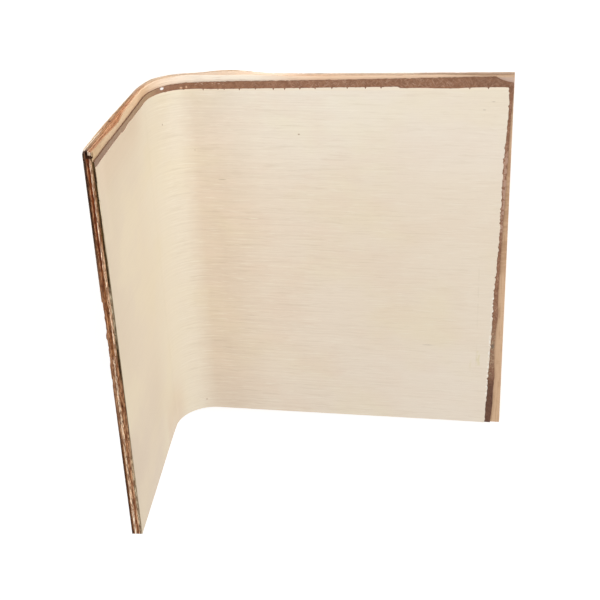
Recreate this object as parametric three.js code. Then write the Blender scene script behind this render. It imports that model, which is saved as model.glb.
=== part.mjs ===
// A moulded plywood sheet: seven veneers glued over a former into an L with a rounded corner.
// Millimetres. The long leg lies on its back face, the short leg rises at its -X end.
// +X runs along the long leg to its free end, +Y along the bend's axis from the trimmed edge
// to the untrimmed one, +Z out of the long leg's inner face.
import * as THREE from 'three';

// The pressed shape, measured on the inner, concave face.
const LONG_LEG = 248;
const SHORT_LEG = 150;
const INNER_RADIUS = 31;
const BEND_ANGLE = 94.9; // degrees turned: the corner springs in by the part over a right angle

// The sheet's width, from its trimmed edge to its untrimmed one. It is narrowest where the short
// leg meets the bend.
const WIDTH_AT_SHORT_END = 311;
const WIDTH_AT_SHORT_BEND = 302;
const WIDTH_AT_LONG_BEND = 305.5;
const WIDTH_AT_LONG_END = 309;

// Veneer thicknesses and the cured glue between two of them.
const FACE_VENEER = 0.5;
const CROSS_PLY = 1.2;
const LONG_PLY = 1.4;
const BACK_VENEER = 0.5;
const GLUE_LINE = 0.1;

// Facets: the turn of the bend in each, and the length of each along the legs.
const BEND_STEPS = 24;
const LEG_STEP = 8;

const WOOD = {
  face: 0xe6d7bf,
  glued: 0x8f6a54,
  pale: 0xedcfae,
  red: 0x8a5a38,
  tan: 0xc19a72,
  dark: 0x4a2f20,
  back: 0xd9bd96,
};
const FLUSH = 0;

// The plies from the inner face outwards, each laid a little askew on the next.
//   edge    how far its untrimmed edge stops short of the sheet's, at both ends of both legs
//   end     how far its long end stops short of the sheet's, at its trimmed and untrimmed corner
//   bow     a swell (or a hollow) of that edge on one leg, measured outwards from the bend
//   broken  an untrimmed corner that has broken off, measured along and across the sheet
const PLIES = [
  {
    name: 'face_veneer',
    thickness: FACE_VENEER,
    colour: WOOD.face,
    edge: { shortEnd: 12.4, shortBend: 9.1, longBend: 10.3, longEnd: 9.1 },
    end: { trimmed: 12.4, untrimmed: 3.4 },
    broken: { longEnd: { along: 1.5, across: 1.5 } },
  },
  {
    name: 'cross_ply_1',
    thickness: CROSS_PLY,
    colour: WOOD.glued,
    edge: { shortEnd: 8.3, shortBend: 5, longBend: 5.2, longEnd: 1.2 },
    end: { trimmed: 8, untrimmed: FLUSH },
    broken: { longEnd: { along: 11, across: 6 } },
  },
  {
    name: 'long_ply_1',
    thickness: LONG_PLY,
    colour: WOOD.pale,
    edge: { shortEnd: 1.7, shortBend: 0.4, longBend: 0.3, longEnd: 0.8 },
    end: { trimmed: FLUSH, untrimmed: FLUSH },
    bow: { leg: 'short', from: 48, to: 128, rise: -2 },
  },
  {
    name: 'cross_ply_2',
    thickness: CROSS_PLY,
    colour: WOOD.red,
    edge: { shortEnd: 1.1, shortBend: 0.3, longBend: 0.2, longEnd: 0.6 },
    end: { trimmed: FLUSH, untrimmed: FLUSH },
  },
  {
    name: 'long_ply_2',
    thickness: LONG_PLY,
    colour: WOOD.tan,
    edge: { shortEnd: 0.7, shortBend: 0.2, longBend: 0.2, longEnd: 0.4 },
    end: { trimmed: FLUSH, untrimmed: FLUSH },
  },
  {
    name: 'cross_ply_3',
    thickness: CROSS_PLY,
    colour: WOOD.dark,
    edge: { shortEnd: 0.4, shortBend: 0.1, longBend: 0.1, longEnd: 0.2 },
    end: { trimmed: FLUSH, untrimmed: FLUSH },
    broken: { shortEnd: { along: 3, across: 1.5 } },
  },
  {
    name: 'back_veneer',
    thickness: BACK_VENEER,
    colour: WOOD.back,
    edge: { shortEnd: FLUSH, shortBend: FLUSH, longBend: FLUSH, longEnd: FLUSH },
    end: { trimmed: FLUSH, untrimmed: FLUSH },
    bow: { leg: 'long', from: 0, to: 67, rise: 2.3 },
    broken: { shortEnd: { along: 4, across: 2.5 } },
  },
];

const BEND = THREE.MathUtils.degToRad(BEND_ANGLE);
const BEND_LENGTH = INNER_RADIUS * BEND;
const { lerp, clamp } = THREE.MathUtils;

// Places along the sheet are measured on its inner face from the long leg's end of the bend.
// They are positive on the long leg, and negative round the bend and on the short leg.
const onLongLeg = (along) => along;
const onShortLeg = (along) => -along - BEND_LENGTH;

// Where a point of the flat sheet goes in the mould. `depth` is below the sheet's inner face.
function pressed(along, across, depth) {
  const turn = clamp(-along / INNER_RADIUS, 0, BEND);
  const radius = INNER_RADIUS + depth;
  const straight = along > 0 ? along : Math.min(along + BEND_LENGTH, 0);
  return new THREE.Vector3(
    straight * Math.cos(turn) - radius * Math.sin(turn),
    across,
    -straight * Math.sin(turn) - radius * Math.cos(turn),
  );
}

// Width of an unbroken ply at a place along it, straight from each named place to the next.
function straightWidth({ edge }, along) {
  const longBend = WIDTH_AT_LONG_BEND - edge.longBend;
  const shortBend = WIDTH_AT_SHORT_BEND - edge.shortBend;
  if (along > 0) {
    return lerp(longBend, WIDTH_AT_LONG_END - edge.longEnd, onLongLeg(along) / LONG_LEG);
  }
  if (along > -BEND_LENGTH) {
    return lerp(longBend, shortBend, -along / BEND_LENGTH);
  }
  return lerp(shortBend, WIDTH_AT_SHORT_END - edge.shortEnd, onShortLeg(along) / SHORT_LEG);
}

// Height of a swell of the edge: nothing at both its ends, with a rounded top between them.
function bowHeight(bow, along) {
  if (!bow) return 0;
  const place = bow.leg === 'long' ? onLongLeg(along) : onShortLeg(along);
  const share = clamp((place - bow.from) / (bow.to - bow.from), 0, 1);
  return bow.rise * Math.sin(Math.PI * share) ** 2;
}

// What a broken corner takes off the width, at a distance from that end of the ply.
function brokenHeight(corner, fromEnd) {
  if (!corner) return 0;
  return corner.across * clamp(1 - fromEnd / corner.along, 0, 1);
}

function widthOf(ply, along) {
  const toShortEnd = SHORT_LEG - onShortLeg(along);
  const toLongEnd = LONG_LEG - ply.end.untrimmed - onLongLeg(along);
  return (
    straightWidth(ply, along) +
    bowHeight(ply.bow, along) -
    brokenHeight(ply.broken?.shortEnd, toShortEnd) -
    brokenHeight(ply.broken?.longEnd, toLongEnd)
  );
}

// Equal steps along one straight run, without its last place.
function steps(from, to, count) {
  return Array.from({ length: count }, (_, i) => lerp(from, to, i / count));
}

// The places along a ply where its corners lie, from its short end to a long end at `end`.
function places(ply, end) {
  const shortEnd = -BEND_LENGTH - SHORT_LEG;
  const shortCorner = shortEnd + (ply.broken?.shortEnd?.along ?? LEG_STEP);
  const longCorner = end - (ply.broken?.longEnd?.along ?? LEG_STEP);
  return [
    shortEnd,
    ...steps(shortCorner, -BEND_LENGTH, Math.round(SHORT_LEG / LEG_STEP)),
    ...steps(-BEND_LENGTH, 0, BEND_STEPS),
    ...steps(0, longCorner, Math.round(LONG_LEG / LEG_STEP)),
    longCorner,
    end,
  ];
}

// A flat blank of one veneer with a row of corners at each place, pressed into the mould.
function plyGeometry(ply, innerDepth) {
  const trimmedEdge = places(ply, LONG_LEG - ply.end.trimmed);
  const untrimmedEdge = places(ply, LONG_LEG - ply.end.untrimmed);
  const columns = trimmedEdge.length - 1;
  const blank = new THREE.BoxGeometry(columns, 1, ply.thickness, columns, 1, 1);
  const corners = blank.attributes.position;
  for (let i = 0; i < corners.count; i += 1) {
    const column = Math.round(corners.getX(i) + columns / 2);
    const untrimmed = corners.getY(i) > 0;
    const along = untrimmed ? untrimmedEdge[column] : trimmedEdge[column];
    const across = untrimmed ? widthOf(ply, along) : 0;
    const depth = innerDepth + ply.thickness / 2 - corners.getZ(i);
    const point = pressed(along, across, depth);
    corners.setXYZ(i, point.x, point.y, point.z);
  }
  blank.computeVertexNormals();
  return blank;
}

const sheet = new THREE.Group();
let innerDepth = 0;
for (const ply of PLIES) {
  const finish = { color: ply.colour, roughness: 0.7, metalness: 0 };
  const veneer = new THREE.Mesh(plyGeometry(ply, innerDepth), new THREE.MeshStandardMaterial(finish));
  veneer.name = ply.name;
  sheet.add(veneer);
  innerDepth += ply.thickness + GLUE_LINE;
}

// The origin is under the middle of the sheet, on the surface that the long leg lies on.
const box = new THREE.Box3().setFromObject(sheet);
const middle = box.getCenter(new THREE.Vector3());
sheet.position.set(-middle.x, -middle.y, -box.min.z);

export default sheet;
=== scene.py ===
"""Looks of a moulded plywood sheet: seven veneers with their torn edges, their grain and glue."""

import math

import bpy
import numpy as np
from mathutils import Matrix, Vector
from mathutils.geometry import delaunay_2d_cdt


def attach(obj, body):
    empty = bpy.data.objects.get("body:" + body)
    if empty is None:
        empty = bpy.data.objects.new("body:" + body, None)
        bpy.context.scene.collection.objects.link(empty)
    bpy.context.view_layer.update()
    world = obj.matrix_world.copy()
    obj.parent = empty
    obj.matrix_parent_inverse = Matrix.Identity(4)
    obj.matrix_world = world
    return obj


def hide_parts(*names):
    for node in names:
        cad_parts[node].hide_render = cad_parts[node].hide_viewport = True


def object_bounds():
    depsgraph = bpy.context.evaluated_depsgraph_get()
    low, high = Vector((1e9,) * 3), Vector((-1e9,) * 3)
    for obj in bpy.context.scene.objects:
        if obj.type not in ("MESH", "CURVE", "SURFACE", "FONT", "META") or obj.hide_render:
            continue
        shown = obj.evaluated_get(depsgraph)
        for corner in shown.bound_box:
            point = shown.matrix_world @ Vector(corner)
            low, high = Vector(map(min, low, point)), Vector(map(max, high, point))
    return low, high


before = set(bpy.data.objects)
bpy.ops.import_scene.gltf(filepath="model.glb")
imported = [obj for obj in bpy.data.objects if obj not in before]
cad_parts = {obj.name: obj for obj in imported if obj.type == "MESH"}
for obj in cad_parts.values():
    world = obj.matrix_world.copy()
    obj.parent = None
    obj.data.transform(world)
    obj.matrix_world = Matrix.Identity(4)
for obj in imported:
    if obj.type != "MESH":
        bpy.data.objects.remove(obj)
cad_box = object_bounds()
LOW, HIGH = (np.array(corner, float) for corner in cad_box)

# ------------
# The pressed sheet, in millimetres. `along` is measured on the inner face from the long leg's
# end of the bend, `across` from the trimmed edge, and `depth` from the inner face outwards.
# ------------
MM = 0.001
LONG_LEG = 248.0
SHORT_LEG = 150.0
INNER_RADIUS = 31.0
BEND = math.radians(94.9)
BEND_LENGTH = INNER_RADIUS * BEND
SHORT_END = -BEND_LENGTH - SHORT_LEG
THICKNESS = 8.0
GLUE_LINE = 0.1

# Corners of the meshes: columns round the bend, and the spacing of the corners on two sides.
BEND_COLUMNS = 48
TRIMMED_STEP = 2.5
SHORT_STEP = 0.7

# The corners inside a face lie in columns across the sheet: the columns' spacing on the legs,
# the corners in each, and where the columns and their corners stop short of the outline.
INNER_STEP = 9.0
INNER_ROWS = 32
LOWEST_ROW = 3.5
HIGHEST_ROW = 286.0
SHORT_MARGIN = 3.5
LONG_MARGIN = 16.0

# The saw's slight wave on the trimmed edge, and the short end's splinters: pitch and amount.
SAW_WAVE = (5.0, 0.05)
SHORT_SPLINTERS = {"along": (2.4, 0.22), "across": (6.0, 0.22)}

# Random waves have this many values, the first of them this far before place 0.
RANDOM_VALUES = 4096
RANDOM_START = 500

# Where the outer plies' swell starts and stops along the untrimmed edge.
SWELL_START = -8.0
SWELL_STOP = 68.0

# Sides of a ply, which are also the material slots of its mesh.
INNER, OUTER, UNTRIMMED, LONG_END, TRIMMED, SHORT = range(6)

# A wall's relief: how hollow it is, how rough on each side, and the pitch of that roughness
# along the fibres and across their ends.
HOLLOW = 0.05
WALL_ROUGHNESS = {UNTRIMMED: 0.14, LONG_END: 0.06, TRIMMED: 0.03, SHORT: 0.12}
FIBRE_PITCH = 11.0
END_GRAIN_PITCH = 1.7


def pressed(along, across, depth):
    """Where points of the flat sheet go in the mould, in metres."""
    turn = np.clip(-along / INNER_RADIUS, 0, BEND)
    radius = INNER_RADIUS + depth
    straight = np.where(along > 0, along, np.minimum(along + BEND_LENGTH, 0))
    x = HIGH[0] / MM - LONG_LEG + straight * np.cos(turn) - radius * np.sin(turn)
    y = LOW[1] / MM + across
    z = INNER_RADIUS + THICKNESS - straight * np.sin(turn) - radius * np.cos(turn)
    return np.clip(np.stack([x, y, z], axis=-1) * MM, LOW, HIGH)


def cells_of(place, pitch):
    """The cell of `pitch` mm that holds each place, and the share of the cell before it."""
    cells = (np.asarray(place, float) + RANDOM_START) / pitch
    first = np.floor(cells).astype(int)
    return first, cells - first


def ripple(seed, pitch, amount):
    """A smooth random wave: one value every `pitch` mm, between -amount and amount."""
    values = np.random.default_rng(seed).uniform(-amount, amount, RANDOM_VALUES)

    def at(place):
        first, share = cells_of(place, pitch)
        ease = share * share * (3 - 2 * share)
        return values[first] * (1 - ease) + values[first + 1] * ease

    return at


def splinters(seed, pitch, amount):
    """Torn fibres: teeth of random length that only reach inwards, the longest being rare."""
    values = np.random.default_rng(seed).uniform(0, 1, RANDOM_VALUES) ** 3 * amount

    def at(place):
        first, share = cells_of(place, pitch)
        return values[first] * (1 - np.abs(2 * share - 1))

    return at


def line(*knots):
    """Straight runs from knot to knot."""
    places, values = zip(*knots)
    return lambda place: np.interp(place, places, values)


def swollen(outline, rise):
    """An untrimmed edge with the swell that the outer plies have just past the bend."""

    def at(place):
        share = np.clip((place - SWELL_START) / (SWELL_STOP - SWELL_START), 0, 1)
        return outline(place) + rise * np.sin(np.pi * share) ** 2

    return at


# ------------
# The plies, from the inner face outwards.
#   edge      across at each place along the untrimmed edge
#   end       along at each height of the long end
#   *_step    spacing of the corners on those two outlines
#   *_tear    their raggedness, as (pitch, amount) of ripple and of splinters
#   rows      rows of faces through the thickness of a wall
#   fibre     'along' or 'across': which way the grain runs
# ------------
FACE_EDGE = line(
    (-201, 298.6), (-176, 298.1), (-124.4, 296.1), (-123.4, 295.0), (-110.4, 294.7),
    (-109.4, 295.6), (-52, 293.0), (-40, 294.1), (-25, 294.9), (30, 295.7), (160.8, 298.9),
    (162.6, 297.9), (204, 298.1), (234, 299.5), (243.4, 299.5), (244.9, 298.1),
)
FACE_END = line(
    (0, 235.8), (80, 238.6), (120, 239.6), (180, 242.3), (240, 242.8), (280, 245.1), (298, 244.8),
)
GLUED_EDGE = line(
    (-201, 302.7), (-164, 301.5), (-104, 298.8), (-50, 297.0), (-40, 297.8), (-30, 299.0),
    (24, 301.3), (94, 303.0), (234, 307.3), (239, 304.7), (243, 303.5), (248, 302.7),
)
GLUED_END = line(
    (0, 240.3), (20, 241.8), (50, 242.5), (70, 241.8), (90, 242.1), (108, 243.6), (120, 243.1),
    (200, 244.5), (300, 248.0),
)
PALE_EDGE = line(
    (-201, 309.3), (-190, 308.4), (-162, 306.7), (-145, 304.9), (-121, 303.6), (-107, 304.9),
    (-94, 304.7), (-52, 302.1), (-40, 302.8), (-29, 304.5), (-3, 305.5), (30, 306.2),
    (84, 306.0), (173, 307.4), (248, 308.2),
)
RED_EDGE = line((-201, 309.9), (-51, 301.9), (-40, 302.9), (-25, 305.0), (60, 306.2), (248, 308.4))
TAN_EDGE = swollen(line(
    (-201, 310.2), (-51, 302.0), (-40, 302.9), (-25, 305.1), (0, 305.7), (248, 308.6)), 1.3)
DARK_EDGE = swollen(line(
    (-201, 308.6), (-198, 310.0), (-51, 302.0), (-40, 302.9), (-25, 305.1), (0, 305.8),
    (248, 308.8)), 1.9)
BACK_EDGE = swollen(line(
    (-201, 308.2), (-197, 310.2), (-144, 308.1), (-50, 302.0), (-40, 302.9), (-29, 304.9),
    (-3, 305.8), (70, 306.1), (248, 309.0)), 2.5)
TRIMMED_EDGE = line(
    (-201, 0.1), (-150, 0.2), (-85, 1.1), (-65, 0.9), (-44, 0.0), (200, 0.6), (248, 0.4),
)
FLUSH_END = line((0, LONG_LEG), (310, LONG_LEG))

# Splits in the face veneer's untrimmed edge: places along it, the deepest and widest, and the
# share of that size which the smallest has.
NICKS = (-22, -8, 8, 20, 25, 37, 50, 64, 73, 85, 97, 110, 122, 136, 148, 215, 229)
NICK_DEPTH = 1.6
NICK_WIDTH = 1.2
SMALLEST_NICK = 0.65

# What has broken out of a ply's short end: from and to across, and how deep. Its sides slope
# over up to CHIP_SLOPE, and its floor is rough: pitch and amount.
CHIP_SLOPE = 1.5
CHIP_ROUGHNESS = (1.7, 0.25)
CHIPS = {
    "long_ply_1": ((304.6, 306.2, 2.4),),
    "cross_ply_2": ((304.4, 306.4, 1.6),),
    "long_ply_2": ((304.0, 309.4, 2.2),),
    "cross_ply_3": ((152.0, 168.0, 1.0), (176.0, 194.0, 1.6)),
    "back_veneer": ((133.0, 139.0, 1.6), (150.0, 171.0, 2.8), (174.0, 200.0, 3.2)),
}

OUTER_PLY = dict(rows=5, end=FLUSH_END, edge_step=0.7, end_step=0.9)
PLIES = (
    dict(name="face_veneer", slot="face_veneer", thick=0.5, rows=3, fibre="along",
         edge=FACE_EDGE, end=FACE_END, edge_step=0.5, end_step=0.4,
         edge_tear=((9.0, 0.1), (3.0, 0.25)), end_tear=((2.4, 0.35), (3.0, 1.1))),
    dict(name="cross_ply_1", slot="glued_cross_ply", thick=1.2, rows=5, fibre="across",
         edge=GLUED_EDGE, end=GLUED_END, edge_step=0.6, end_step=0.6,
         edge_tear=((2.4, 0.15), (1.5, 0.35)), end_tear=((14.0, 0.25), (5.0, 0.5))),
    dict(OUTER_PLY, name="long_ply_1", slot="pale_ply", thick=1.4, fibre="along",
         edge=PALE_EDGE, edge_tear=((16.0, 0.15), (7.0, 0.25)), end_tear=((3.0, 0.0), (2.2, 0.12))),
    dict(OUTER_PLY, name="cross_ply_2", slot="red_cross_ply", thick=1.2, fibre="across",
         edge=RED_EDGE, edge_tear=((4.0, 0.12), (2.0, 0.4)), end_tear=((3.0, 0.0), (4.0, 0.15))),
    dict(OUTER_PLY, name="long_ply_2", slot="tan_ply", thick=1.4, fibre="along",
         edge=TAN_EDGE, edge_tear=((14.0, 0.1), (8.0, 0.2)), end_tear=((3.0, 0.0), (2.2, 0.12))),
    dict(OUTER_PLY, name="cross_ply_3", slot="dark_cross_ply", thick=1.2, fibre="across",
         edge=DARK_EDGE, edge_tear=((4.0, 0.1), (2.0, 0.35)), end_tear=((3.0, 0.0), (4.0, 0.15))),
    dict(OUTER_PLY, name="back_veneer", slot="back_veneer", thick=0.5, rows=3, fibre="along",
         edge=BACK_EDGE, edge_tear=((12.0, 0.08), (6.0, 0.15)), end_tear=((3.0, 0.0), (1.6, 0.12))),
)

BEND_PLACES = -np.linspace(0, BEND_LENGTH, BEND_COLUMNS + 1)


def places_along(first, last, step):
    """Places from one end of the sheet to the other, with one at each column of the bend."""
    if first > last:
        return places_along(last, first, step)[::-1]
    short = np.linspace(first, -BEND_LENGTH, int((-BEND_LENGTH - first) / step) + 2)
    long = np.linspace(0, last, int(last / step) + 2)
    return np.concatenate([short[:-1], np.sort(BEND_PLACES), long[1:]])


def torn(outline, tear, seed):
    """An outline with its raggedness, which never reaches out past it."""
    (wave_pitch, wave), (tooth_pitch, tooth) = tear
    waves, teeth = ripple(seed, wave_pitch, wave), splinters(seed + 1, tooth_pitch, tooth)
    return lambda place: outline(place) + waves(place) - wave - teeth(place)


def nicked(outline):
    """An outline with the splits cut into it."""
    sizes = np.random.default_rng(7).uniform(SMALLEST_NICK, 1.0, len(NICKS))

    def at(place):
        cut = 0
        for where, size in zip(NICKS, sizes):
            away = np.abs(place - where) / (NICK_WIDTH / 2 * size)
            cut = cut + NICK_DEPTH * size * np.clip(2 - 2 * away, 0, 1)
        return outline(place) - cut

    return at


def broken_out(ply, seed):
    """How far the short end is broken back at each place across."""
    rough = ripple(seed, *CHIP_ROUGHNESS)

    def at(across):
        cut = 0
        for low, high, deep in CHIPS.get(ply["name"], ()):
            ramp = min(CHIP_SLOPE, (high - low) / 4)
            inside = np.clip(np.minimum(across - low, high - across) / ramp, 0, 1)
            cut = cut + deep * inside * (1 - CHIP_ROUGHNESS[1] + rough(across))
        return cut

    return at


def outline_of(ply, seed):
    """The ply's outline, counterclockwise: (along, across), the way inwards, and the side."""
    edge = torn(ply["edge"], ply["edge_tear"], seed)
    if ply["name"] == "face_veneer":
        edge = nicked(edge)
    end = torn(ply["end"], ply["end_tear"], seed + 10)
    sawn = ripple(seed + 20, *SAW_WAVE)
    chips = splinters(seed + 30, *SHORT_SPLINTERS[ply["fibre"]])
    broken = broken_out(ply, seed + 35)

    # The long end's untrimmed corner, where the two outlines meet, and its trimmed one.
    height = float(edge(end(ply["edge"](LONG_LEG))))
    corner = float(end(height))
    height = float(edge(corner))
    foot = float(end(0.0))
    foot_height = TRIMMED_EDGE(foot) + SAW_WAVE[1]

    # Places on the four sides, each without its last, which is the first of the next side.
    trimmed = places_along(SHORT_END, foot, TRIMMED_STEP)[:-1]
    long_end = np.linspace(foot_height, height, int(height / ply["end_step"]))[:-1]
    untrimmed = places_along(corner, SHORT_END, ply["edge_step"])[:-1]
    short = np.linspace(edge(SHORT_END), TRIMMED_EDGE(SHORT_END), int(height / SHORT_STEP))[:-1]

    points, inwards, sides = [], [], []
    for along, across, way, side in (
        (trimmed, TRIMMED_EDGE(trimmed) + SAW_WAVE[1] + sawn(trimmed), (0, 1), TRIMMED),
        (end(long_end), long_end, (-1, 0), LONG_END),
        (untrimmed, edge(untrimmed), (0, -1), UNTRIMMED),
        (SHORT_END + chips(short) + broken(short), short, (1, 0), SHORT),
    ):
        points.append(np.column_stack([along, across]))
        inwards.append(np.tile(way, (len(along), 1)))
        sides += [side] * len(along)
    return np.concatenate(points), np.concatenate(inwards).astype(float), np.array(sides)


def face_triangles(points):
    """Triangles over an outline, with the bend's columns kept as edges."""
    count = len(points)
    coords = [Vector(point) for point in points]
    edges = [(i, (i + 1) % count) for i in range(count)]
    trimmed_at = {round(p[0], 6): i for i, p in enumerate(points) if p[1] < LOWEST_ROW}
    untrimmed_at = {round(p[0], 6): i for i, p in enumerate(points) if p[1] > HIGHEST_ROW}
    bend = {round(place, 6) for place in BEND_PLACES}
    on_long = np.arange(INNER_STEP, LONG_LEG - LONG_MARGIN, INNER_STEP)
    on_short = np.arange(-BEND_LENGTH - INNER_STEP, SHORT_END + SHORT_MARGIN, -INNER_STEP)
    rows = np.linspace(LOWEST_ROW, HIGHEST_ROW, INNER_ROWS)
    for place in [*BEND_PLACES, *on_long, *on_short]:
        inside = range(len(coords), len(coords) + len(rows))
        coords += [Vector((place, row)) for row in rows]
        key = round(place, 6)
        if key in bend:
            chain = [trimmed_at[key], *inside, untrimmed_at[key]]
            edges += list(zip(chain, chain[1:]))
    verts, _, faces, sources, _, _ = delaunay_2d_cdt(coords, edges, [], 1, 1e-6)
    found = {index: new for new, old in enumerate(sources) for index in old}
    return np.array(verts), faces, [found[i] for i in range(count)]


def wall_relief(ply, points, sides, seed):
    """How far each row of a wall is sunk at each point of the outline."""
    rows = ply["rows"]
    relief = np.zeros((rows + 1, len(points)))
    for row in range(1, rows + 1):
        hollow = HOLLOW * math.sin(math.pi * row / rows)
        for side, rough in WALL_ROUGHNESS.items():
            axis = 0 if side in (UNTRIMMED, TRIMMED) else 1
            with_fibres = (ply["fibre"] == "along") == (axis == 0)
            pitch = FIBRE_PITCH if with_fibres else END_GRAIN_PITCH
            wave = ripple(seed + 40 + row * 7 + side, pitch, rough)
            mask = sides == side
            relief[row, mask] = hollow + rough + wave(points[mask, axis])
    return relief


def ply_corners(ply, flat, loop, inwards, relief, inner_depth):
    """Corners as (along, across, depth): both faces, then the rows of the walls between them."""
    rows = ply["rows"]
    sunk = np.array(flat)
    sunk[loop] += inwards * relief[rows][:, None]
    layers = [(flat, inner_depth), (sunk, inner_depth + ply["thick"])]
    for row in range(1, rows):
        layers.append((flat[loop] + inwards * relief[row][:, None],
                       inner_depth + ply["thick"] * row / rows))
    return np.concatenate([
        np.column_stack([places, np.full(len(places), depth)]) for places, depth in layers
    ])


def wall_rings(loop, size, rows):
    """The corners round a ply at each row of its walls, from the inner face to the outer one."""
    count = len(loop)
    between = [[2 * size + row * count + i for i in range(count)] for row in range(rows - 1)]
    return [loop, *between, [size + i for i in loop]]


def ply_faces(triangles, rings, size, sides):
    """The faces of a ply, and the side that each belongs to."""
    faces, slots = [], []
    for a, b, c in triangles:
        faces += [(a, b, c), (size + c, size + b, size + a)]
        slots += [INNER, OUTER]
    count = len(sides)
    for upper, lower in zip(rings, rings[1:]):
        for i in range(count):
            j = (i + 1) % count
            faces.append((upper[i], lower[i], lower[j], upper[j]))
            slots.append(int(sides[i]))
    return faces, slots


def mark_arrises(mesh, *rings):
    """The edges round both faces are sharp."""
    sharp = {frozenset((r[i], r[(i + 1) % len(r)])) for r in rings for i in range(len(r))}
    flags = [frozenset(edge.vertices) in sharp for edge in mesh.edges]
    layer = mesh.attributes.new("sharp_edge", "BOOLEAN", "EDGE")
    layer.data.foreach_set("value", flags)


def ply_mesh(ply, inner_depth, seed):
    """A ply's mesh, which keeps its place in the flat sheet as the attribute `sheet`."""
    points, inwards, sides = outline_of(ply, seed)
    flat, triangles, loop = face_triangles(points)
    relief = wall_relief(ply, points, sides, seed)
    sheet = ply_corners(ply, flat, loop, inwards, relief, inner_depth)
    rings = wall_rings(loop, len(flat), ply["rows"])
    faces, slots = ply_faces(triangles, rings, len(flat), sides)

    mesh = bpy.data.meshes.new(ply["name"] + "_wood")
    where = pressed(sheet[:, 0], sheet[:, 1], sheet[:, 2])
    mesh.from_pydata(where.tolist(), [], faces)
    mesh.polygons.foreach_set("material_index", slots)
    mesh.polygons.foreach_set("use_smooth", [True] * len(faces))
    attribute = mesh.attributes.new("sheet", "FLOAT_VECTOR", "POINT")
    attribute.data.foreach_set("vector", sheet.astype(np.float32).ravel())
    mark_arrises(mesh, rings[0], rings[-1])
    mesh.validate()
    return mesh


def placed(name, data):
    """A new object in the scene."""
    thing = bpy.data.objects.new(name, data)
    bpy.context.scene.collection.objects.link(thing)
    return thing


def ply_object(ply, inner_depth, seed):
    """A ply with its torn edges, in place of the plain one."""
    piece = placed(ply["name"] + "_wood", ply_mesh(ply, inner_depth, seed))
    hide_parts(ply["name"])
    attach(piece, "root")
    return piece


# ------------
# Materials. Colours are written as they look, 0 to 255.
# ------------
def colour(red, green, blue):
    def linear(value):
        share = value / 255
        return share / 12.92 if share <= 0.04045 else ((share + 0.055) / 1.055) ** 2.4

    return (linear(red), linear(green), linear(blue), 1.0)


def by_place(direction, *stops):
    """Tones that change 'along' or 'across' the sheet; each stop is a (place, tone)."""
    return (direction, *((place, colour(*shade) if len(shade) == 3 else shade)
                         for place, shade in stops))


# Tones of bare wood, from the palest to the darkest, and of wood soaked with glue.
CREAM = colour(250, 230, 208)
STRAW = colour(236, 200, 162)
PEACH = colour(232, 198, 168)
BISQUE = colour(216, 186, 159)
BRIGHT = colour(248, 208, 170)
SAND = colour(214, 168, 132)
FAWN = colour(194, 150, 114)
AMBER = colour(182, 134, 98)
HAZEL = colour(168, 118, 84)
UMBER = colour(150, 96, 58)
RUST = colour(122, 60, 26)
CHAR = colour(54, 28, 14)
LICHEN = colour(190, 168, 138)
OLIVE = colour(70, 50, 22)

# How far tones that change by place wander about it, and how ragged the rims of spots are.
TONE_WOBBLE = 10.0
SPOT_WOBBLE = 0.5

# How far each seed's pattern is from the next.
SEED_STEPS = (37.0, 11.0, 5.0)


class Nodes:
    """The nodes of a material or of a world, which start empty."""

    def __init__(self, owner):
        owner.use_nodes = True
        self.tree = owner.node_tree
        self.tree.nodes.clear()

    def add(self, kind, **values):
        node = self.tree.nodes.new(kind)
        for name, value in values.items():
            setattr(node, name, value)
        return node

    def put(self, value, socket):
        if isinstance(value, bpy.types.NodeSocket):
            self.tree.links.new(value, socket)
        else:
            socket.default_value = value

    def math(self, operation, *values):
        node = self.add("ShaderNodeMath", operation=operation)
        for socket, value in zip(node.inputs, values):
            self.put(value, socket)
        return node.outputs[0]


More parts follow.
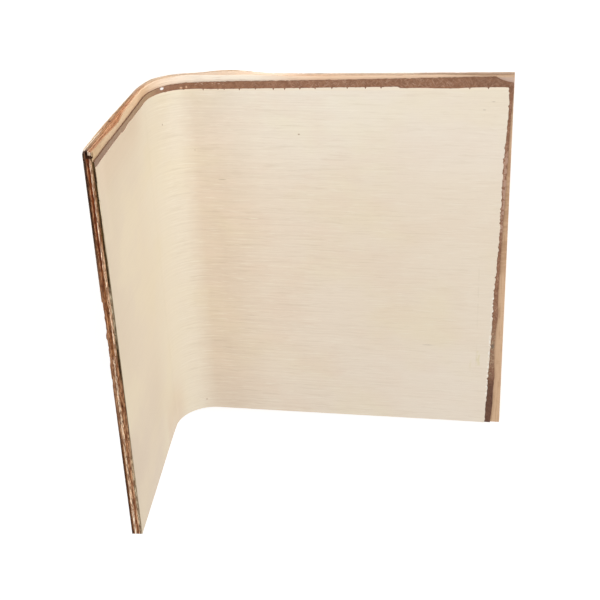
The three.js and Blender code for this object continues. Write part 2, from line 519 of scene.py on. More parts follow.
class Graph(Nodes):
    """A ply's material, with the coordinates of the flat sheet as its vector."""

    def __init__(self, name):
        self.material = bpy.data.materials.new(name)
        super().__init__(self.material)
        self.sheet = self.add("ShaderNodeAttribute", attribute_name="sheet").outputs["Vector"]
        self.along, self.across, self.depth = self.split(self.sheet)

    def shifted(self, seed):
        """The sheet's coordinates, moved so that each seed has a pattern of its own."""
        return self.vector("ADD", self.sheet, tuple(seed * step for step in SEED_STEPS))

    def all_of(self, first, *others):
        for other in others:
            first = self.math("MULTIPLY", first, other)
        return first

    def vector(self, operation, *values):
        node = self.add("ShaderNodeVectorMath", operation=operation)
        for socket, value in zip(node.inputs, values):
            self.put(value, socket)
        return node.outputs["Value" if operation == "DISTANCE" else "Vector"]

    def split(self, vector):
        node = self.add("ShaderNodeSeparateXYZ")
        self.put(vector, node.inputs[0])
        return node.outputs[0], node.outputs[1], node.outputs[2]

    def join(self, x, y, z):
        node = self.add("ShaderNodeCombineXYZ")
        for socket, value in zip(node.inputs, (x, y, z)):
            self.put(value, socket)
        return node.outputs[0]

    def noise(self, vector, scale=1.0, detail=3.0, rough=0.5):
        node = self.add("ShaderNodeTexNoise")
        self.put(vector, node.inputs["Vector"])
        node.inputs["Scale"].default_value = scale
        node.inputs["Detail"].default_value = detail
        node.inputs["Roughness"].default_value = rough
        return node.outputs["Fac"]

    def drawn(self, x, y, z=1.0, scale=1.0, detail=3.0, rough=0.5):
        """Noise drawn out unequally along, across and through the sheet."""
        return self.noise(self.vector("MULTIPLY", self.sheet, (x, y, z)), scale, detail, rough)

    def between(self, value, low, high, to_low=0.0, to_high=1.0):
        node = self.add("ShaderNodeMapRange", interpolation_type="SMOOTHSTEP")
        self.put(value, node.inputs["Value"])
        for name, number in (("From Min", low), ("From Max", high),
                             ("To Min", to_low), ("To Max", to_high)):
            node.inputs[name].default_value = number
        return node.outputs["Result"]

    def within(self, value, low, high, soft):
        """1 from low to high, fading out over `soft` on both sides."""
        return self.all_of(self.between(value, low - soft, low),
                           self.between(value, high + soft, high))

    def mix(self, share, first, second, blend="MIX"):
        node = self.add("ShaderNodeMix", data_type="RGBA", blend_type=blend)
        self.put(share, node.inputs["Factor"])
        self.put(first, node.inputs[6])
        self.put(second, node.inputs[7])
        return node.outputs[2]

    def shaded(self, share, base, shade):
        """A tone with its channels multiplied by a shade."""
        return self.mix(share, base, (*shade, 1.0), "MULTIPLY")

    def spots(self, base, *marks):
        """Small round or drawn-out marks with slightly ragged rims."""
        for mark in marks:
            base = self.spot(base, *mark)
        return base

    def spot(self, base, place, radius, tone, stretch=(1.0, 1.0), soft=0.35):
        flat = self.join(self.math("MULTIPLY", self.along, 1 / stretch[0]),
                         self.math("MULTIPLY", self.across, 1 / stretch[1]), 0.0)
        centre = (place[0] / stretch[0], place[1] / stretch[1], 0.0)
        away = self.vector("DISTANCE", flat, centre)
        ragged = self.math("MULTIPLY", self.noise(self.sheet, 1.3, 2.0), SPOT_WOBBLE)
        away = self.math("ADD", away, ragged)
        rim = radius + SPOT_WOBBLE / 2
        return self.mix(self.between(away, rim + soft, rim - soft), base, colour(*tone))

    def tone(self, tone):
        """One colour, tones by place, or ('depth', limit, inner tone, outer tone)."""
        kind, *rest = tone
        if kind == "depth":
            limit, inner, outer = rest
            wobble = self.math("SUBTRACT", self.drawn(0.05, 0.25, 0.4), 0.5)
            depth = self.math("ADD", self.depth, wobble)
            share = self.between(depth, limit - 0.15, limit + 0.15)
            return self.mix(share, self.tone(inner), self.tone(outer))
        if kind not in ("along", "across"):
            return tone
        place = self.along if kind == "along" else self.across
        wobble = self.math("MULTIPLY", self.noise(self.sheet, 0.12), TONE_WOBBLE)
        first, last = rest[0][0], rest[-1][0]
        from_first = self.math("SUBTRACT", self.math("ADD", place, wobble), first + TONE_WOBBLE / 2)
        ramp = self.add("ShaderNodeValToRGB")
        self.put(self.math("DIVIDE", from_first, last - first), ramp.inputs["Fac"])
        elements = ramp.color_ramp.elements
        elements[0].color = rest[0][1]
        elements[1].color = rest[-1][1]
        for where, shade in rest[1:-1]:
            elements.new((where - first) / (last - first)).color = shade
        return ramp.outputs["Color"]

    def finish(self, base, height, roughness, bump=0.4, distance=0.2, shine=0.5):
        shader = self.add("ShaderNodeBsdfPrincipled")
        shader.inputs["Specular IOR Level"].default_value = shine
        self.put(base, shader.inputs["Base Color"])
        self.put(roughness, shader.inputs["Roughness"])
        relief = self.add("ShaderNodeBump")
        relief.inputs["Strength"].default_value = bump
        relief.inputs["Distance"].default_value = distance * MM
        self.put(height, relief.inputs["Height"])
        self.put(relief.outputs["Normal"], shader.inputs["Normal"])
        self.put(shader.outputs["BSDF"], self.add("ShaderNodeOutputMaterial").inputs["Surface"])
        return self.material


def grain_space(g, fibre, seed, wander, drawn_out=0.035):
    """Coordinates in which wood is drawn out along its fibres, which wander by some mm."""
    place = g.shifted(seed)
    sway = g.noise(g.vector("MULTIPLY", place, (0.012, 0.03, 0.03)), 1.0, 2.0)
    sway = g.math("MULTIPLY", g.math("SUBTRACT", sway, 0.5), wander * 4)
    x, y, z = g.split(place)
    if fibre == "along":
        return g.join(g.math("MULTIPLY", x, drawn_out), g.math("ADD", y, sway), z)
    return g.join(g.math("ADD", x, sway), g.math("MULTIPLY", y, drawn_out), z)


def streak_tones(contrast, red, blue):
    """The darkest and the lightest streak; red and blue vary by their own part of the contrast."""
    return [(1 + sign * red * contrast, 1 + sign * contrast, 1 + sign * blue * contrast, 1.0)
            for sign in (-1, 1)]


def wood(name, fibre, tone, seed, contrast=0.2, pores=0.5, calm=False, roughness=0.62,
         bump=0.4, wander=1.5, shine=0.3, tint=None):
    """Bare wood: its tone with growth bands and fine streaks about it, and dark pores.

    Calm wood shows them only faintly on the long leg. `tint` lays marks over the tone.
    """
    g = Graph(name)
    grain = grain_space(g, fibre, seed, wander)
    band = g.noise(grain, 0.16, 3.0, 0.55)
    fine = g.noise(grain, 0.9, 5.0, 0.65)
    streak = g.math("ADD", g.math("MULTIPLY", band, 0.5), g.math("MULTIPLY", fine, 0.5))
    dark, light = streak_tones(contrast, 0.75, 1.2)
    streaks = g.mix(g.between(streak, 0.36, 0.64), dark, light)
    if calm:
        lively = g.between(g.along, -30, -75, 0.3, 1.0)
        streaks = g.mix(lively, (1, 1, 1, 1), streaks)
        pores = g.math("MULTIPLY", lively, pores)
    base = g.mix(1.0, g.tone(tone), streaks, "MULTIPLY")
    if tint:
        base = tint(g, base)
    holes = g.noise(g.vector("MULTIPLY", grain, (2.2, 2.6, 2.6)), 1.0, 2.0, 0.6)
    holes = g.between(holes, 0.60, 0.70)
    base = g.shaded(g.math("MULTIPLY", holes, pores), base, (0.35, 0.24, 0.17))
    height = g.math("SUBTRACT", fine, g.math("MULTIPLY", holes, 0.5))
    gloss = g.between(fine, 0.3, 0.7, roughness - 0.07, roughness + 0.07)
    return g.finish(base, height, gloss, bump, shine=shine)


def broken_wood(name, tone, seed, contrast=0.6, tint=None):
    """A rough short end: short streaks drawn out across it, pale splinters and dark pits."""
    g = Graph(name)
    place = g.shifted(seed)
    rough = g.vector("MULTIPLY", place, (1.0, 0.2, 1.4))
    streak = g.noise(rough, 0.75, 2.0, 0.6)
    dark, light = streak_tones(contrast, 0.8, 1.1)
    streaks = g.mix(g.between(streak, 0.38, 0.62), dark, light)
    base = g.mix(1.0, g.tone(tone), streaks, "MULTIPLY")
    speck = g.noise(g.vector("MULTIPLY", place, (1.0, 0.42, 1.2)), 0.8, 2.0, 0.6)
    pits = g.between(speck, 0.40, 0.33)
    base = g.shaded(g.math("MULTIPLY", pits, 0.8), base, (0.22, 0.16, 0.10))
    chips = g.between(speck, 0.62, 0.70)
    base = g.shaded(g.math("MULTIPLY", chips, 0.55), base, (2.0, 1.9, 1.8))
    if tint:
        base = tint(g, base)
    height = g.math("SUBTRACT", streak, pits)
    return g.finish(base, height, g.between(streak, 0.3, 0.7, 0.6, 0.8), 0.6, 0.3, 0.1)


def face_tones(g):
    """The inner face's broad tones: golden on the short leg, rosier past the bend."""
    # The tones along the face are partly painted light and shade: darker towards the short leg's
    # free end and just past the bend, lighter round the bend as a painted highlight.
    base = g.tone(by_place(
        "along", (-201, (223, 207, 184)), (-150, (230, 215, 193)), (-100, (234, 220, 198)),
        (-56, (239, 228, 207)), (-34, (237, 225, 203)), (-16, (238, 226, 206)),
        (-2, (233, 217, 197)), (14, (231, 214, 194)), (50, (239, 225, 207)),
        (248, (240, 227, 210))))
    golden = g.between(g.drawn(0.012, 0.016, 0), 0.44, 0.64, 0, 0.35)
    base = g.mix(golden, base, colour(239, 226, 196))
    rosy = g.all_of(g.between(g.drawn(0.016, 0.022, 0, 1.4), 0.44, 0.64),
                    g.between(g.along, -14, 10), g.between(g.along, 260, 20, 0.2, 0.6))
    base = g.mix(rosy, base, colour(237, 219, 200))
    lower_rim = g.all_of(g.between(g.across, 115, 45), g.between(g.along, -60, -120))
    base = g.shaded(lower_rim, base, (0.93, 0.91, 0.91))
    upper_rim = g.all_of(g.between(g.across, 262, 292), g.between(g.along, -40, -100), 0.75)
    base = g.mix(upper_rim, base, colour(226, 206, 181))
    # Painted light: the long leg's upper half near the bend is made lighter and whiter, fading out
    # towards the long end.
    upper_light = g.all_of(g.between(g.across, 185, 290), g.between(g.along, -30, 25),
                        g.between(g.along, 230, 75, 0.15))
    base = g.shaded(upper_light, base, (1.04, 1.09, 1.13))
    yellower = g.all_of(g.between(g.along, 95, 165), g.within(g.across, 85, 215, 30))
    base = g.shaded(yellower, base, (0.99, 0.98, 0.955))
    lower_bend = g.all_of(g.between(g.across, 55, 12), g.within(g.along, -75, -42, 16))
    base = g.shaded(lower_bend, base, (0.94, 0.89, 0.88))
    upper_bend = g.all_of(g.between(g.across, 215, 275), g.within(g.along, -175, -28, 14))
    return g.shaded(upper_bend, base, (0.96, 0.95, 0.935))


def face_streaks(g, base, grain):
    """Long faint bands, then short dark and light streaks, along the grain."""
    drift = g.noise(g.vector("MULTIPLY", grain, (0.15, 1.0, 1.0)), 0.6, 3.0, 0.6)
    drift = g.mix(g.between(drift, 0.36, 0.64), (0.97, 0.965, 0.96, 1), (1.014, 1.017, 1.02, 1))
    clearness = g.all_of(g.between(g.along, 190, 30, 0.4, 0.9), g.between(g.along, -70, -10, 0.3))
    base = g.mix(clearness, base, drift, "MULTIPLY")

    # The short streaks are grain, but they are made strongest near the bend and lighter ones are
    # laid there: painted sheen where the light grazes.
    sheen_near_bend = g.all_of(g.between(g.along, 190, 20, 0.45, 0.68), g.between(g.along, -42, -18))
    for scale, low, high, shade, share in (
        (0.55, 0.55, 0.68, (0.80, 0.76, 0.70), 0.40),
        (0.95, 0.56, 0.70, (0.84, 0.81, 0.76), 0.42),
        (2.80, 0.50, 0.70, (0.86, 0.83, 0.79), 0.38),
    ):
        dark = g.between(g.noise(grain, scale, 3.0, 0.6), low, high)
        base = g.shaded(g.all_of(dark, sheen_near_bend, share), base, shade)
    light = g.between(g.noise(g.vector("ADD", grain, (90, 40, 0)), 0.8, 3.0, 0.6), 0.54, 0.68)
    return g.mix(g.all_of(light, sheen_near_bend, 0.55), base, colour(250, 242, 226))


def face_specks(g, base):
    """A few brown specks, and faint marks drawn out along the grain."""
    tan, grey = (176, 150, 122), (206, 192, 174)
    return g.spots(
        base,
        ((82.7, 259.3), 0.45, tan, (1.6, 1.0)),
        ((-27.9, 269.3), 0.35, tan, (1.0, 1.8)),
        ((-2.7, 244.5), 0.3, tan, (1.0, 1.0)),
        ((-11.0, 9.1), 0.5, (196, 170, 144), (1.6, 1.0)),
        ((186.0, 74.7), 0.3, grey, (14.0, 1.0), 0.2),
        ((18.0, 219.6), 0.35, (205, 188, 164), (9.0, 1.0), 0.2),
        ((42.0, 186.2), 0.3, (248, 240, 220), (12.0, 1.0), 0.2),
        ((233.0, 288.0), 0.3, grey, (4.0, 1.0), 0.2),
        ((226.5, 281.5), 0.3, grey, (4.0, 1.0), 0.2),
    )


def face_borders(g, base):
    """A pale rim, a scuff and stains by the long end with a painted highlight along its edge, and a
    darker rim at the top of the short end.
    """
    slanted = g.math("SUBTRACT", g.across, g.math("MULTIPLY", g.along, 0.0155))
    rim = g.all_of(g.between(slanted, 292.9, 294.3), g.between(g.along, -40, -20), 0.5)
    base = g.mix(rim, base, colour(250, 234, 210))

    scuff = g.all_of(g.within(g.along, 226.3, 226.9, 0.5), g.within(g.across, 60, 158, 8),
                     g.between(g.drawn(0.2, 0.08, 0), 0.4, 0.6, 0.0, 0.22))
    base = g.mix(scuff, base, colour(214, 200, 176))
    patchy = g.between(g.drawn(0.5, 0.2, 0), 0.36, 0.6, 0.1, 1.0)
    for first, last, low, high, share in ((226.9, 229.2, 58, 70, 0.6), (221.4, 222.2, 53, 62, 0.3)):
        stain = g.all_of(g.within(g.along, first, last, 0.9), g.within(g.across, low, high, 2.0))
        base = g.mix(g.all_of(stain, patchy, share), base, colour(226, 214, 176))
    # A broken near-white line just inside the long end's edge: a painted highlight.
    slanted = g.math("SUBTRACT", g.along, g.math("MULTIPLY", g.across, 0.032))
    long_end_highlight = g.all_of(g.between(slanted, 233.6, 234.6), g.within(g.across, 30, 128, 8),
                      g.between(g.drawn(0.5, 0.45, 0, 1.0, 2), 0.50, 0.62), 0.7)
    base = g.mix(long_end_highlight, base, colour(255, 251, 242))

    # Darker at the very edge of the short end, on its upper part.
    dark_short_rim = g.all_of(g.between(g.along, -200.4, -201.2), g.between(g.across, 260, 225), 0.9)
    return g.mix(dark_short_rim, base, colour(150, 134, 104))


def sanded_face():
    """The inner face: pale sanded veneer with faint streaks, clearest near the bend."""
    g = Graph("sanded_face")
    grain = grain_space(g, "along", 1, 0.5, 0.065)
    base = face_streaks(g, face_tones(g), grain)
    base = face_borders(g, face_specks(g, base))
    fine = g.noise(grain, 2.4, 5.0, 0.65)
    height = g.math("ADD", g.noise(grain, 0.8, 3.0, 0.6), g.math("MULTIPLY", fine, 0.5))
    return g.finish(base, height, g.between(fine, 0.3, 0.7, 0.54, 0.64), 0.25, 0.12, shine=0.22)


def film_tones(g, mottle):
    """The glue film's brown, greyer and lighter on the short leg with a painted sheen, and
    discoloured here and there.
    """
    film = g.mix(g.between(mottle, 0.35, 0.65), colour(152, 108, 80), colour(132, 91, 66))
    # Painted sheen: on the bend and the short leg the film is greyer and lighter, as where it
    # reflects the white surroundings.
    short_leg_sheen = g.math("MULTIPLY", g.between(g.along, -20, -40), 0.85)
    tones = by_place("along", (-201, (138, 110, 92)), (-150, (150, 122, 101)),
                     (-100, (160, 131, 104)), (-40, (168, 138, 106)))
    film = g.mix(short_leg_sheen, film, g.tone(tones))
    mauve = g.all_of(g.between(g.along, 232, 238), g.within(g.across, 186, 240, 16),
                     g.between(g.noise(g.sheet, 0.3, 3.0, 0.6), 0.44, 0.54))
    film = g.mix(mauve, film, colour(188, 152, 134))
    grey = g.all_of(g.between(g.along, 232, 238), g.within(g.across, 62, 92, 8),
                    g.between(g.noise(g.sheet, 0.5, 3.0, 0.6), 0.42, 0.56), 0.5)
    return g.mix(grey, film, colour(150, 128, 106))


def scrapes(g):
    """Where the film is scraped: short marks in four directions, clearer along the long leg."""
    scraped = 0.0
    for angle, seed in ((35, 3), (-28, 9), (62, 17), (-55, 23)):
        turned = g.add("ShaderNodeMapping")
        g.put(g.sheet, turned.inputs["Vector"])
        turned.inputs["Rotation"].default_value[2] = math.radians(angle)
        turned.inputs["Location"].default_value = (seed * 7.0, seed * 3.0, 0)
        drawn = g.vector("MULTIPLY", turned.outputs["Vector"], (0.16, 1.9, 0))
        mark = g.between(g.noise(drawn, 1.0, 1.0, 0.4), 0.63, 0.71)
        scraped = g.math("MAXIMUM", mark, scraped)
    return g.math("MULTIPLY", scraped, g.between(g.along, 0, 130, 0.15, 0.75))


def film_marks(g, film):
    """What lies on the film: chips, dust and crumbs of wood, and darker and lighter places."""
    slanted = g.math("SUBTRACT", g.across, g.math("MULTIPLY", g.along, 0.0285))
    chips = g.all_of(g.within(g.along, 4, 24, 5), g.between(slanted, 297.6, 298.6),
                     g.between(g.drawn(0.5, 0.8, 0, 1.2, 2, 0.6), 0.56, 0.64), 0.7)
    film = g.mix(chips, film, colour(232, 206, 186))
    dust = g.all_of(g.between(g.noise(g.sheet, 2.2, 2.0, 0.6), 0.62, 0.70),
                    g.between(g.along, 0, 130, 0.2, 0.4))
    film = g.mix(dust, film, colour(205, 174, 152))

    crumbs = g.all_of(g.between(g.along, 234, 236), g.within(g.across, 50, 88, 6),
                      g.between(g.noise(g.sheet, 0.8, 1.0), 0.50, 0.60), 0.5)
    film = g.mix(crumbs, film, colour(200, 176, 146))

    film = g.shaded(g.between(g.along, 110, 140), film, (0.93, 0.91, 0.86))
    upper_end = g.all_of(g.between(g.along, 205, 228), g.between(g.across, 290, 297))
    film = g.shaded(upper_end, film, (0.86, 0.84, 0.82))
    lower_end = g.all_of(g.between(g.along, 200, 235), g.between(g.across, 62, 30), 0.85)
    film = g.shaded(lower_end, film, (0.29, 0.18, 0.11))

    return g.spots(
        film,
        ((-9.5, 296.2), 0.7, (222, 182, 150), (1.3, 1.0), 0.4),
        ((-5.4, 296.6), 0.6, (222, 182, 150), (1.0, 1.3), 0.4),
        ((-24.9, 297.8), 1.0, (250, 246, 244), (1.5, 1.0), 0.3),
        ((239.8, 75.9), 1.2, (120, 102, 84), (1.0, 1.6), 0.4),
    )


def glue_film():
    """The glued face of the first cross ply: a brown film, mottled, scraped and dusty."""
    g = Graph("glue_film")
    mottle = g.noise(g.sheet, 0.35, 5.0, 0.65)
    scraped = scrapes(g)
    film = g.mix(scraped, film_tones(g, mottle), colour(196, 158, 134))
    film = film_marks(g, film)
    height = g.math("ADD", mottle, g.math("MULTIPLY", scraped, -0.6))
    return g.finish(film, height, g.between(mottle, 0.3, 0.7, 0.5, 0.68), 0.5, 0.3)


def pale_face_stains(g, base):
    """What shows of the first long ply: tan at its long end, and the painted shadow of a crack at
    the short one.
    """
    at_end = g.between(g.along, 226, 236)
    base = g.mix(g.all_of(at_end, g.between(g.across, 284, 244)), base, colour(218, 182, 147))
    darker = g.all_of(at_end, g.within(g.across, 155, 235, 20),
                      g.between(g.drawn(0.1, 0.3, 0, 1, 4, 0.6), 0.40, 0.56, 0.35, 1.0))
    base = g.mix(darker, base, colour(194, 156, 122))
    streaked = g.all_of(at_end, g.between(g.drawn(0.9, 0.05, 0, 1.2, 3, 0.6), 0.52, 0.66), 0.5)
    base = g.mix(streaked, base, colour(176, 134, 98))
    stain = g.all_of(g.between(g.along, 231, 236), g.within(g.across, 301.5, 306.0, 0.9),
                     g.between(g.drawn(0.3, 0.5, 0), 0.3, 0.5, 0.55, 1.0))
    base = g.mix(stain, base, colour(206, 178, 160))
    base = g.spots(base, ((-123.4, 303.6), 0.5, (150, 118, 88)))
    # Painted shadow: a dark slit by the short end, beside a crack.
    crack_shadow = g.all_of(g.within(g.along, -199.4, -198.4, 0.5), g.within(g.across, 304.6, 308.0, 0.6))
    return g.mix(crack_shadow, base, colour(100, 68, 38))


def crack_shade_corner(g, base):
    """On the short end's corner the shade in a crack is painted dark, round a pale tip of wood."""
    # Painted shade: dark from across 304.8 up to the edge, save the pale tip.
    base = g.mix(g.between(g.across, 303.8, 304.8), base, colour(70, 40, 22))
    tip = g.all_of(g.between(g.across, 306.6, 307.3), g.within(g.depth, 2.5, 4.2, 0.4))
    return g.mix(tip, base, colour(228, 200, 174))


def dark_corner(g, base):
    """An outer ply's untrimmed edge is dark where it meets the short end."""
    return g.mix(g.between(g.along, -198.0, -199.2), base, colour(66, 42, 26))


def splintered_edge(g, base):
    """The outer plies' untrimmed edge: a dark corner, a pale rim and, further on, the painted shade
    of a hole.
    """
    shade = g.all_of(g.between(g.along, -108, -125), g.between(g.depth, 7.0, 6.5), 0.35)
    base = g.mix(shade, base, colour(130, 92, 58))
    rim = g.all_of(g.between(g.along, -150, -164), g.between(g.depth, 6.7, 7.0))
    base = g.mix(rim, base, colour(236, 220, 200))
    base = dark_corner(g, base)
    # Painted shade: a dark patch where a hole in the edge would be.
    hole_shade = g.all_of(g.within(g.along, -131.5, -128.5, 0.8), g.between(g.depth, 5.4, 5.8))
    return g.mix(g.math("MULTIPLY", hole_shade, 0.9), base, colour(104, 58, 30))


def edge_tone(far, start, *stops, middle=(PEACH, BISQUE)):
    """An untrimmed edge: its own tones to the bend, then cream, two tones and, at last, far."""
    near, further = middle
    return by_place("along", *stops, (50, CREAM), (62, CREAM), (90, near), (148, further),
                    (start - 12, further), (start, far))


# Tones along the edges and across the short end, judged against the photo.
OUTERMOST = by_place("across", (75, (84, 50, 28)), (92, (124, 88, 64)),
                     (150, HAZEL), (200, HAZEL), (232, (112, 78, 56)), (254, CHAR))


def face_end():
    tone = by_place("across", (72, LICHEN), (95, (140, 120, 92)), (150, (140, 120, 92)),
                    (200, (158, 142, 112)), (235, (160, 142, 112)), (256, (234, 214, 182)))
    return broken_wood("face_end", tone, seed=20, contrast=0.3)


def film_end():
    tone = by_place("across", (45, LICHEN), (85, FAWN), (110, HAZEL), (130, HAZEL),
                    (143, OLIVE), (160, OLIVE), (188, LICHEN), (204, LICHEN), (212, OLIVE))
    return broken_wood("film_end", tone, seed=4)


def pale_face():
    # Just past the bend the tone is lifted to near white: painted light against the shade of the
    # bend's hollow.
    tone = by_place("along", (-201, (206, 174, 134)), (-150, (220, 189, 154)),
                    (-100, (226, 194, 158)), (-60, STRAW), (-43, (228, 192, 154)),
                    (-24, (248, 222, 196)), (0, (255, 241, 223)), (50, (255, 243, 225)),
                    (84, (250, 220, 192)), (105, (244, 209, 178)), (190, (244, 212, 182)),
                    (212, (228, 196, 166)), (248, (206, 172, 140)))
    return wood("pale_face", "along", tone, seed=5, contrast=0.08, pores=0.4,
                tint=pale_face_stains)


def pale_edge():
    tone = edge_tone((186, 154, 126), 206, (-112, AMBER), (-96, (214, 170, 130)),
                     (-60, (226, 190, 152)), (-43, (228, 192, 154)), (-22, CREAM))
    return wood("pale_edge", "along", tone, seed=6, contrast=0.3, calm=True)


def pale_end():
    inner = by_place("across", (45, SAND), (85, HAZEL), (150, HAZEL), (165, FAWN),
                     (185, SAND), (228, SAND), (245, UMBER), (311, (112, 82, 54)))
    outer = by_place("across", (150, HAZEL), (162, PEACH), (230, BRIGHT),
                     (245, FAWN), (311, (196, 158, 126)))
    return broken_wood("pale_end", ("depth", 2.6, inner, outer), seed=7, tint=crack_shade_corner)


def red_edge():
    tone = edge_tone((180, 148, 121), 204, (-170, AMBER), (-148, (198, 144, 103)),
                     (-112, (186, 126, 84)), (-85, (200, 144, 104)), (-60, SAND),
                     (-43, (204, 158, 122)), (-26, (230, 200, 168)), (0, (248, 230, 208)))
    return wood("red_edge", "across", tone, seed=8, contrast=0.4, pores=0.8, calm=True)


def red_end():
    inner = by_place("across", (150, UMBER), (165, HAZEL), (205, FAWN), (235, PEACH))
    outer = by_place("across", (45, SAND), (80, FAWN), (90, BRIGHT), (150, PEACH),
                     (158, UMBER), (205, UMBER), (235, RUST))
    return broken_wood("red_end", ("depth", 4.0, inner, outer), seed=9, tint=crack_shade_corner)


def tan_edge():
    tone = edge_tone((182, 154, 132), 178, (-201, (110, 82, 58)), (-168, (188, 146, 106)),
                     (-150, (206, 153, 104)), (-125, (180, 120, 74)), (-95, (182, 124, 82)),
                     (-43, (180, 134, 98)), (-24, (220, 192, 162)), (0, (226, 204, 184)),
                     middle=((222, 200, 180), (212, 192, 170)))
    return wood("tan_edge", "along", tone, seed=10, contrast=0.4, pores=0.8, calm=True,
                tint=splintered_edge)


def tan_end():
    inner = by_place("across", (0, CREAM), (40, BRIGHT), (52, PEACH), (150, PEACH),
                     (158, UMBER), (205, UMBER), (235, RUST))
    outer = by_place("across", (0, BRIGHT), (38, PEACH), (52, FAWN), (80, FAWN), (92, HAZEL))
    return broken_wood("tan_end", ("depth", 5.5, inner, outer), seed=11, tint=crack_shade_corner)


def dark_edge():
    tone = edge_tone((196, 172, 150), 182, (-201, (196, 178, 158)), (-168, (176, 146, 120)),
                     (-150, (200, 160, 130)), (-136, (168, 122, 90)), (-120, (186, 144, 110)),
                     (-95, (150, 110, 74)), (-60, (144, 106, 68)), (-43, (192, 164, 142)),
                     (-24, (222, 202, 180)), (0, (234, 212, 190)),
                     middle=((226, 212, 196), (224, 212, 198)))
    return wood("dark_edge", "across", tone, seed=12, contrast=0.35, pores=0.8, calm=True,
                tint=splintered_edge)


def dark_end():
    inner = by_place("across", (0, HAZEL), (50, UMBER), (78, UMBER), (92, FAWN), (150, FAWN),
                     (200, HAZEL), (235, UMBER), (311, (126, 88, 66)))
    return broken_wood("dark_end", ("depth", 6.7, inner, OUTERMOST), seed=13, contrast=0.4)


def back_edge():
    tone = edge_tone((216, 192, 172), 186, (-201, (244, 230, 212)), (-125, (230, 202, 178)),
                     (-95, (198, 168, 138)), (-60, (190, 160, 130)), (-24, (230, 208, 186)),
                     (0, (242, 223, 204)))
    return wood("back_edge", "along", tone, seed=15, contrast=0.15, pores=0.4, calm=True,
                tint=dark_corner)


def back_face():
    return wood("back_face", "along", colour(212, 182, 145), seed=14, contrast=0.12, pores=0.6,
                roughness=0.66, bump=0.6, wander=4.0)


def plain_wood(name, fibre, tone, seed, contrast, pores=0.5):
    """Wood of one tone, for the cut sides and the faces that are glued together."""
    return wood(name, fibre, colour(*tone), seed, contrast, pores)


def materials():
    """Each ply's inner face, outer face, untrimmed edge, long end, trimmed edge and short end."""
    back, red, tan, dark = back_face(), red_edge(), tan_edge(), dark_edge()
    face = plain_wood("face_edge", "along", (243, 221, 200), 2, 0.08)
    film = plain_wood("film_edge", "across", (112, 78, 54), 3, 0.25)
    long_cut = plain_wood("trimmed_long_grain", "along", (222, 190, 154), 17, 0.12, 0.6)
    cross_cut = plain_wood("trimmed_end_grain", "across", (158, 116, 80), 18, 0.2, 0.9)
    glued = plain_wood("glued_wood", "across", (180, 136, 100), 19, 0.15)
    return {
        "face_veneer": (sanded_face(), back, face, face, long_cut, face_end()),
        "cross_ply_1": (glue_film(), glued, film, film, cross_cut, film_end()),
        "long_ply_1": (pale_face(), glued, pale_edge(), long_cut, long_cut, pale_end()),
        "cross_ply_2": (red, glued, red, cross_cut, cross_cut, red_end()),
        "long_ply_2": (tan, glued, tan, long_cut, long_cut, tan_end()),
        "cross_ply_3": (dark, glued, dark, cross_cut, cross_cut, dark_end()),
        "back_veneer": (back, back, back_edge(), long_cut, long_cut,
                        broken_wood("back_end", OUTERMOST, seed=16, contrast=0.35)),
    }


# ------------
# Stage: a white floor, soft lights and the camera.
# ------------
CAMERA_PLACE = (0.13842, 0.40821, 0.86941)
CAMERA_RIGHT = (0.98498, -0.03969, -0.16806)
CAMERA_UP = (-0.04223, 0.88831, -0.45730)
LENS = 70.0
SENSOR = 36.0

FLOOR_SIZE = 8.0
FLOOR_DROP = 0.0002
FLOOR_COLOUR = (0.9, 0.9, 0.9, 1.0)
FLOOR_GLOW = 0.43
SKY_LIGHT = 0.63

# Where the area lights face, just above the middle of the sheet, and their place, size and watts.
LIT_PLACE = (0.0, 0.0, 0.05)
LIGHTS = (
    ("untrimmed_side", (0.0, 1.2, 0.45), 0.8, 8.0),
    ("long_end_side", (1.45, 0.0, 0.7), 0.8, 6.3),
)


def seen_rays(nodes):
    """1 for rays that end in the picture straight away, in a reflection or through glass."""
    rays = nodes.add("ShaderNodeLightPath")
    seen = rays.outputs["Is Camera Ray"]
    for name in ("Is Glossy Ray", "Is Transmission Ray"):
        seen = nodes.math("MAXIMUM", seen, rays.outputs[name])
    return seen


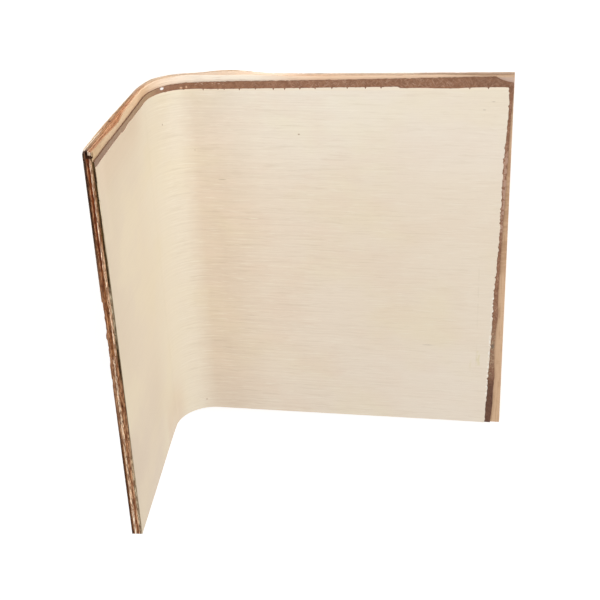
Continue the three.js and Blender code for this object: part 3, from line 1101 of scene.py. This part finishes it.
def floor_white():
    """Matt white that glows a little where it is seen, but lights nothing."""
    material = bpy.data.materials.new("floor_white")
    nodes = Nodes(material)
    matt = nodes.add("ShaderNodeBsdfDiffuse")
    matt.inputs["Color"].default_value = FLOOR_COLOUR
    glow = nodes.add("ShaderNodeEmission")
    nodes.put(nodes.math("MULTIPLY", seen_rays(nodes), FLOOR_GLOW), glow.inputs["Strength"])
    both = nodes.add("ShaderNodeAddShader")
    nodes.put(matt.outputs[0], both.inputs[0])
    nodes.put(glow.outputs[0], both.inputs[1])
    nodes.put(both.outputs[0], nodes.add("ShaderNodeOutputMaterial").inputs["Surface"])
    return material


def floor():
    mesh = bpy.data.meshes.new("floor")
    half = FLOOR_SIZE / 2
    corners = [(x, y, -FLOOR_DROP) for x, y in
               ((-half, -half), (half, -half), (half, half), (-half, half))]
    mesh.from_pydata(corners, [], [(0, 1, 2, 3)])
    mesh.materials.append(floor_white())
    plane = placed("floor", mesh)


def sky():
    """A white sky, which lights less than it shows."""
    world = bpy.data.worlds.new("studio")
    bpy.context.scene.world = world
    nodes = Nodes(world)
    strength = nodes.add("ShaderNodeMapRange")
    strength.inputs["To Min"].default_value = SKY_LIGHT
    nodes.put(seen_rays(nodes), strength.inputs["Value"])
    background = nodes.add("ShaderNodeBackground")
    background.inputs["Color"].default_value = (1, 1, 1, 1)
    nodes.put(strength.outputs["Result"], background.inputs["Strength"])
    nodes.put(background.outputs[0], nodes.add("ShaderNodeOutputWorld").inputs["Surface"])


def lights():
    for name, place, size, watts in LIGHTS:
        light = bpy.data.lights.new(name, "AREA")
        light.shape = "DISK"
        light.size = size
        light.energy = watts
        lamp = placed(name, light)
        lamp.location = place
        towards = Vector(LIT_PLACE) - Vector(place)
        lamp.rotation_euler = towards.to_track_quat("-Z", "Y").to_euler()


def camera():
    data = bpy.data.cameras.new("camera")
    data.lens = LENS
    data.sensor_width = SENSOR
    eye = placed("camera", data)
    right, up = Vector(CAMERA_RIGHT).normalized(), Vector(CAMERA_UP)
    back = right.cross(up).normalized()
    up = back.cross(right)
    turned = Matrix((right, up, back)).transposed().to_4x4()
    eye.matrix_world = Matrix.Translation(CAMERA_PLACE) @ turned
    bpy.context.scene.camera = eye


def main():
    looks = materials()
    inner_depth = 0.0
    for number, ply in enumerate(PLIES):
        piece = ply_object(ply, inner_depth, 100 * (number + 1))
        for material in looks[ply["name"]]:
            piece.data.materials.append(material)
        inner_depth += ply["thick"] + GLUE_LINE
    floor()
    sky()
    lights()
    camera()
    bpy.context.scene.view_settings.view_transform = "Standard"


main()
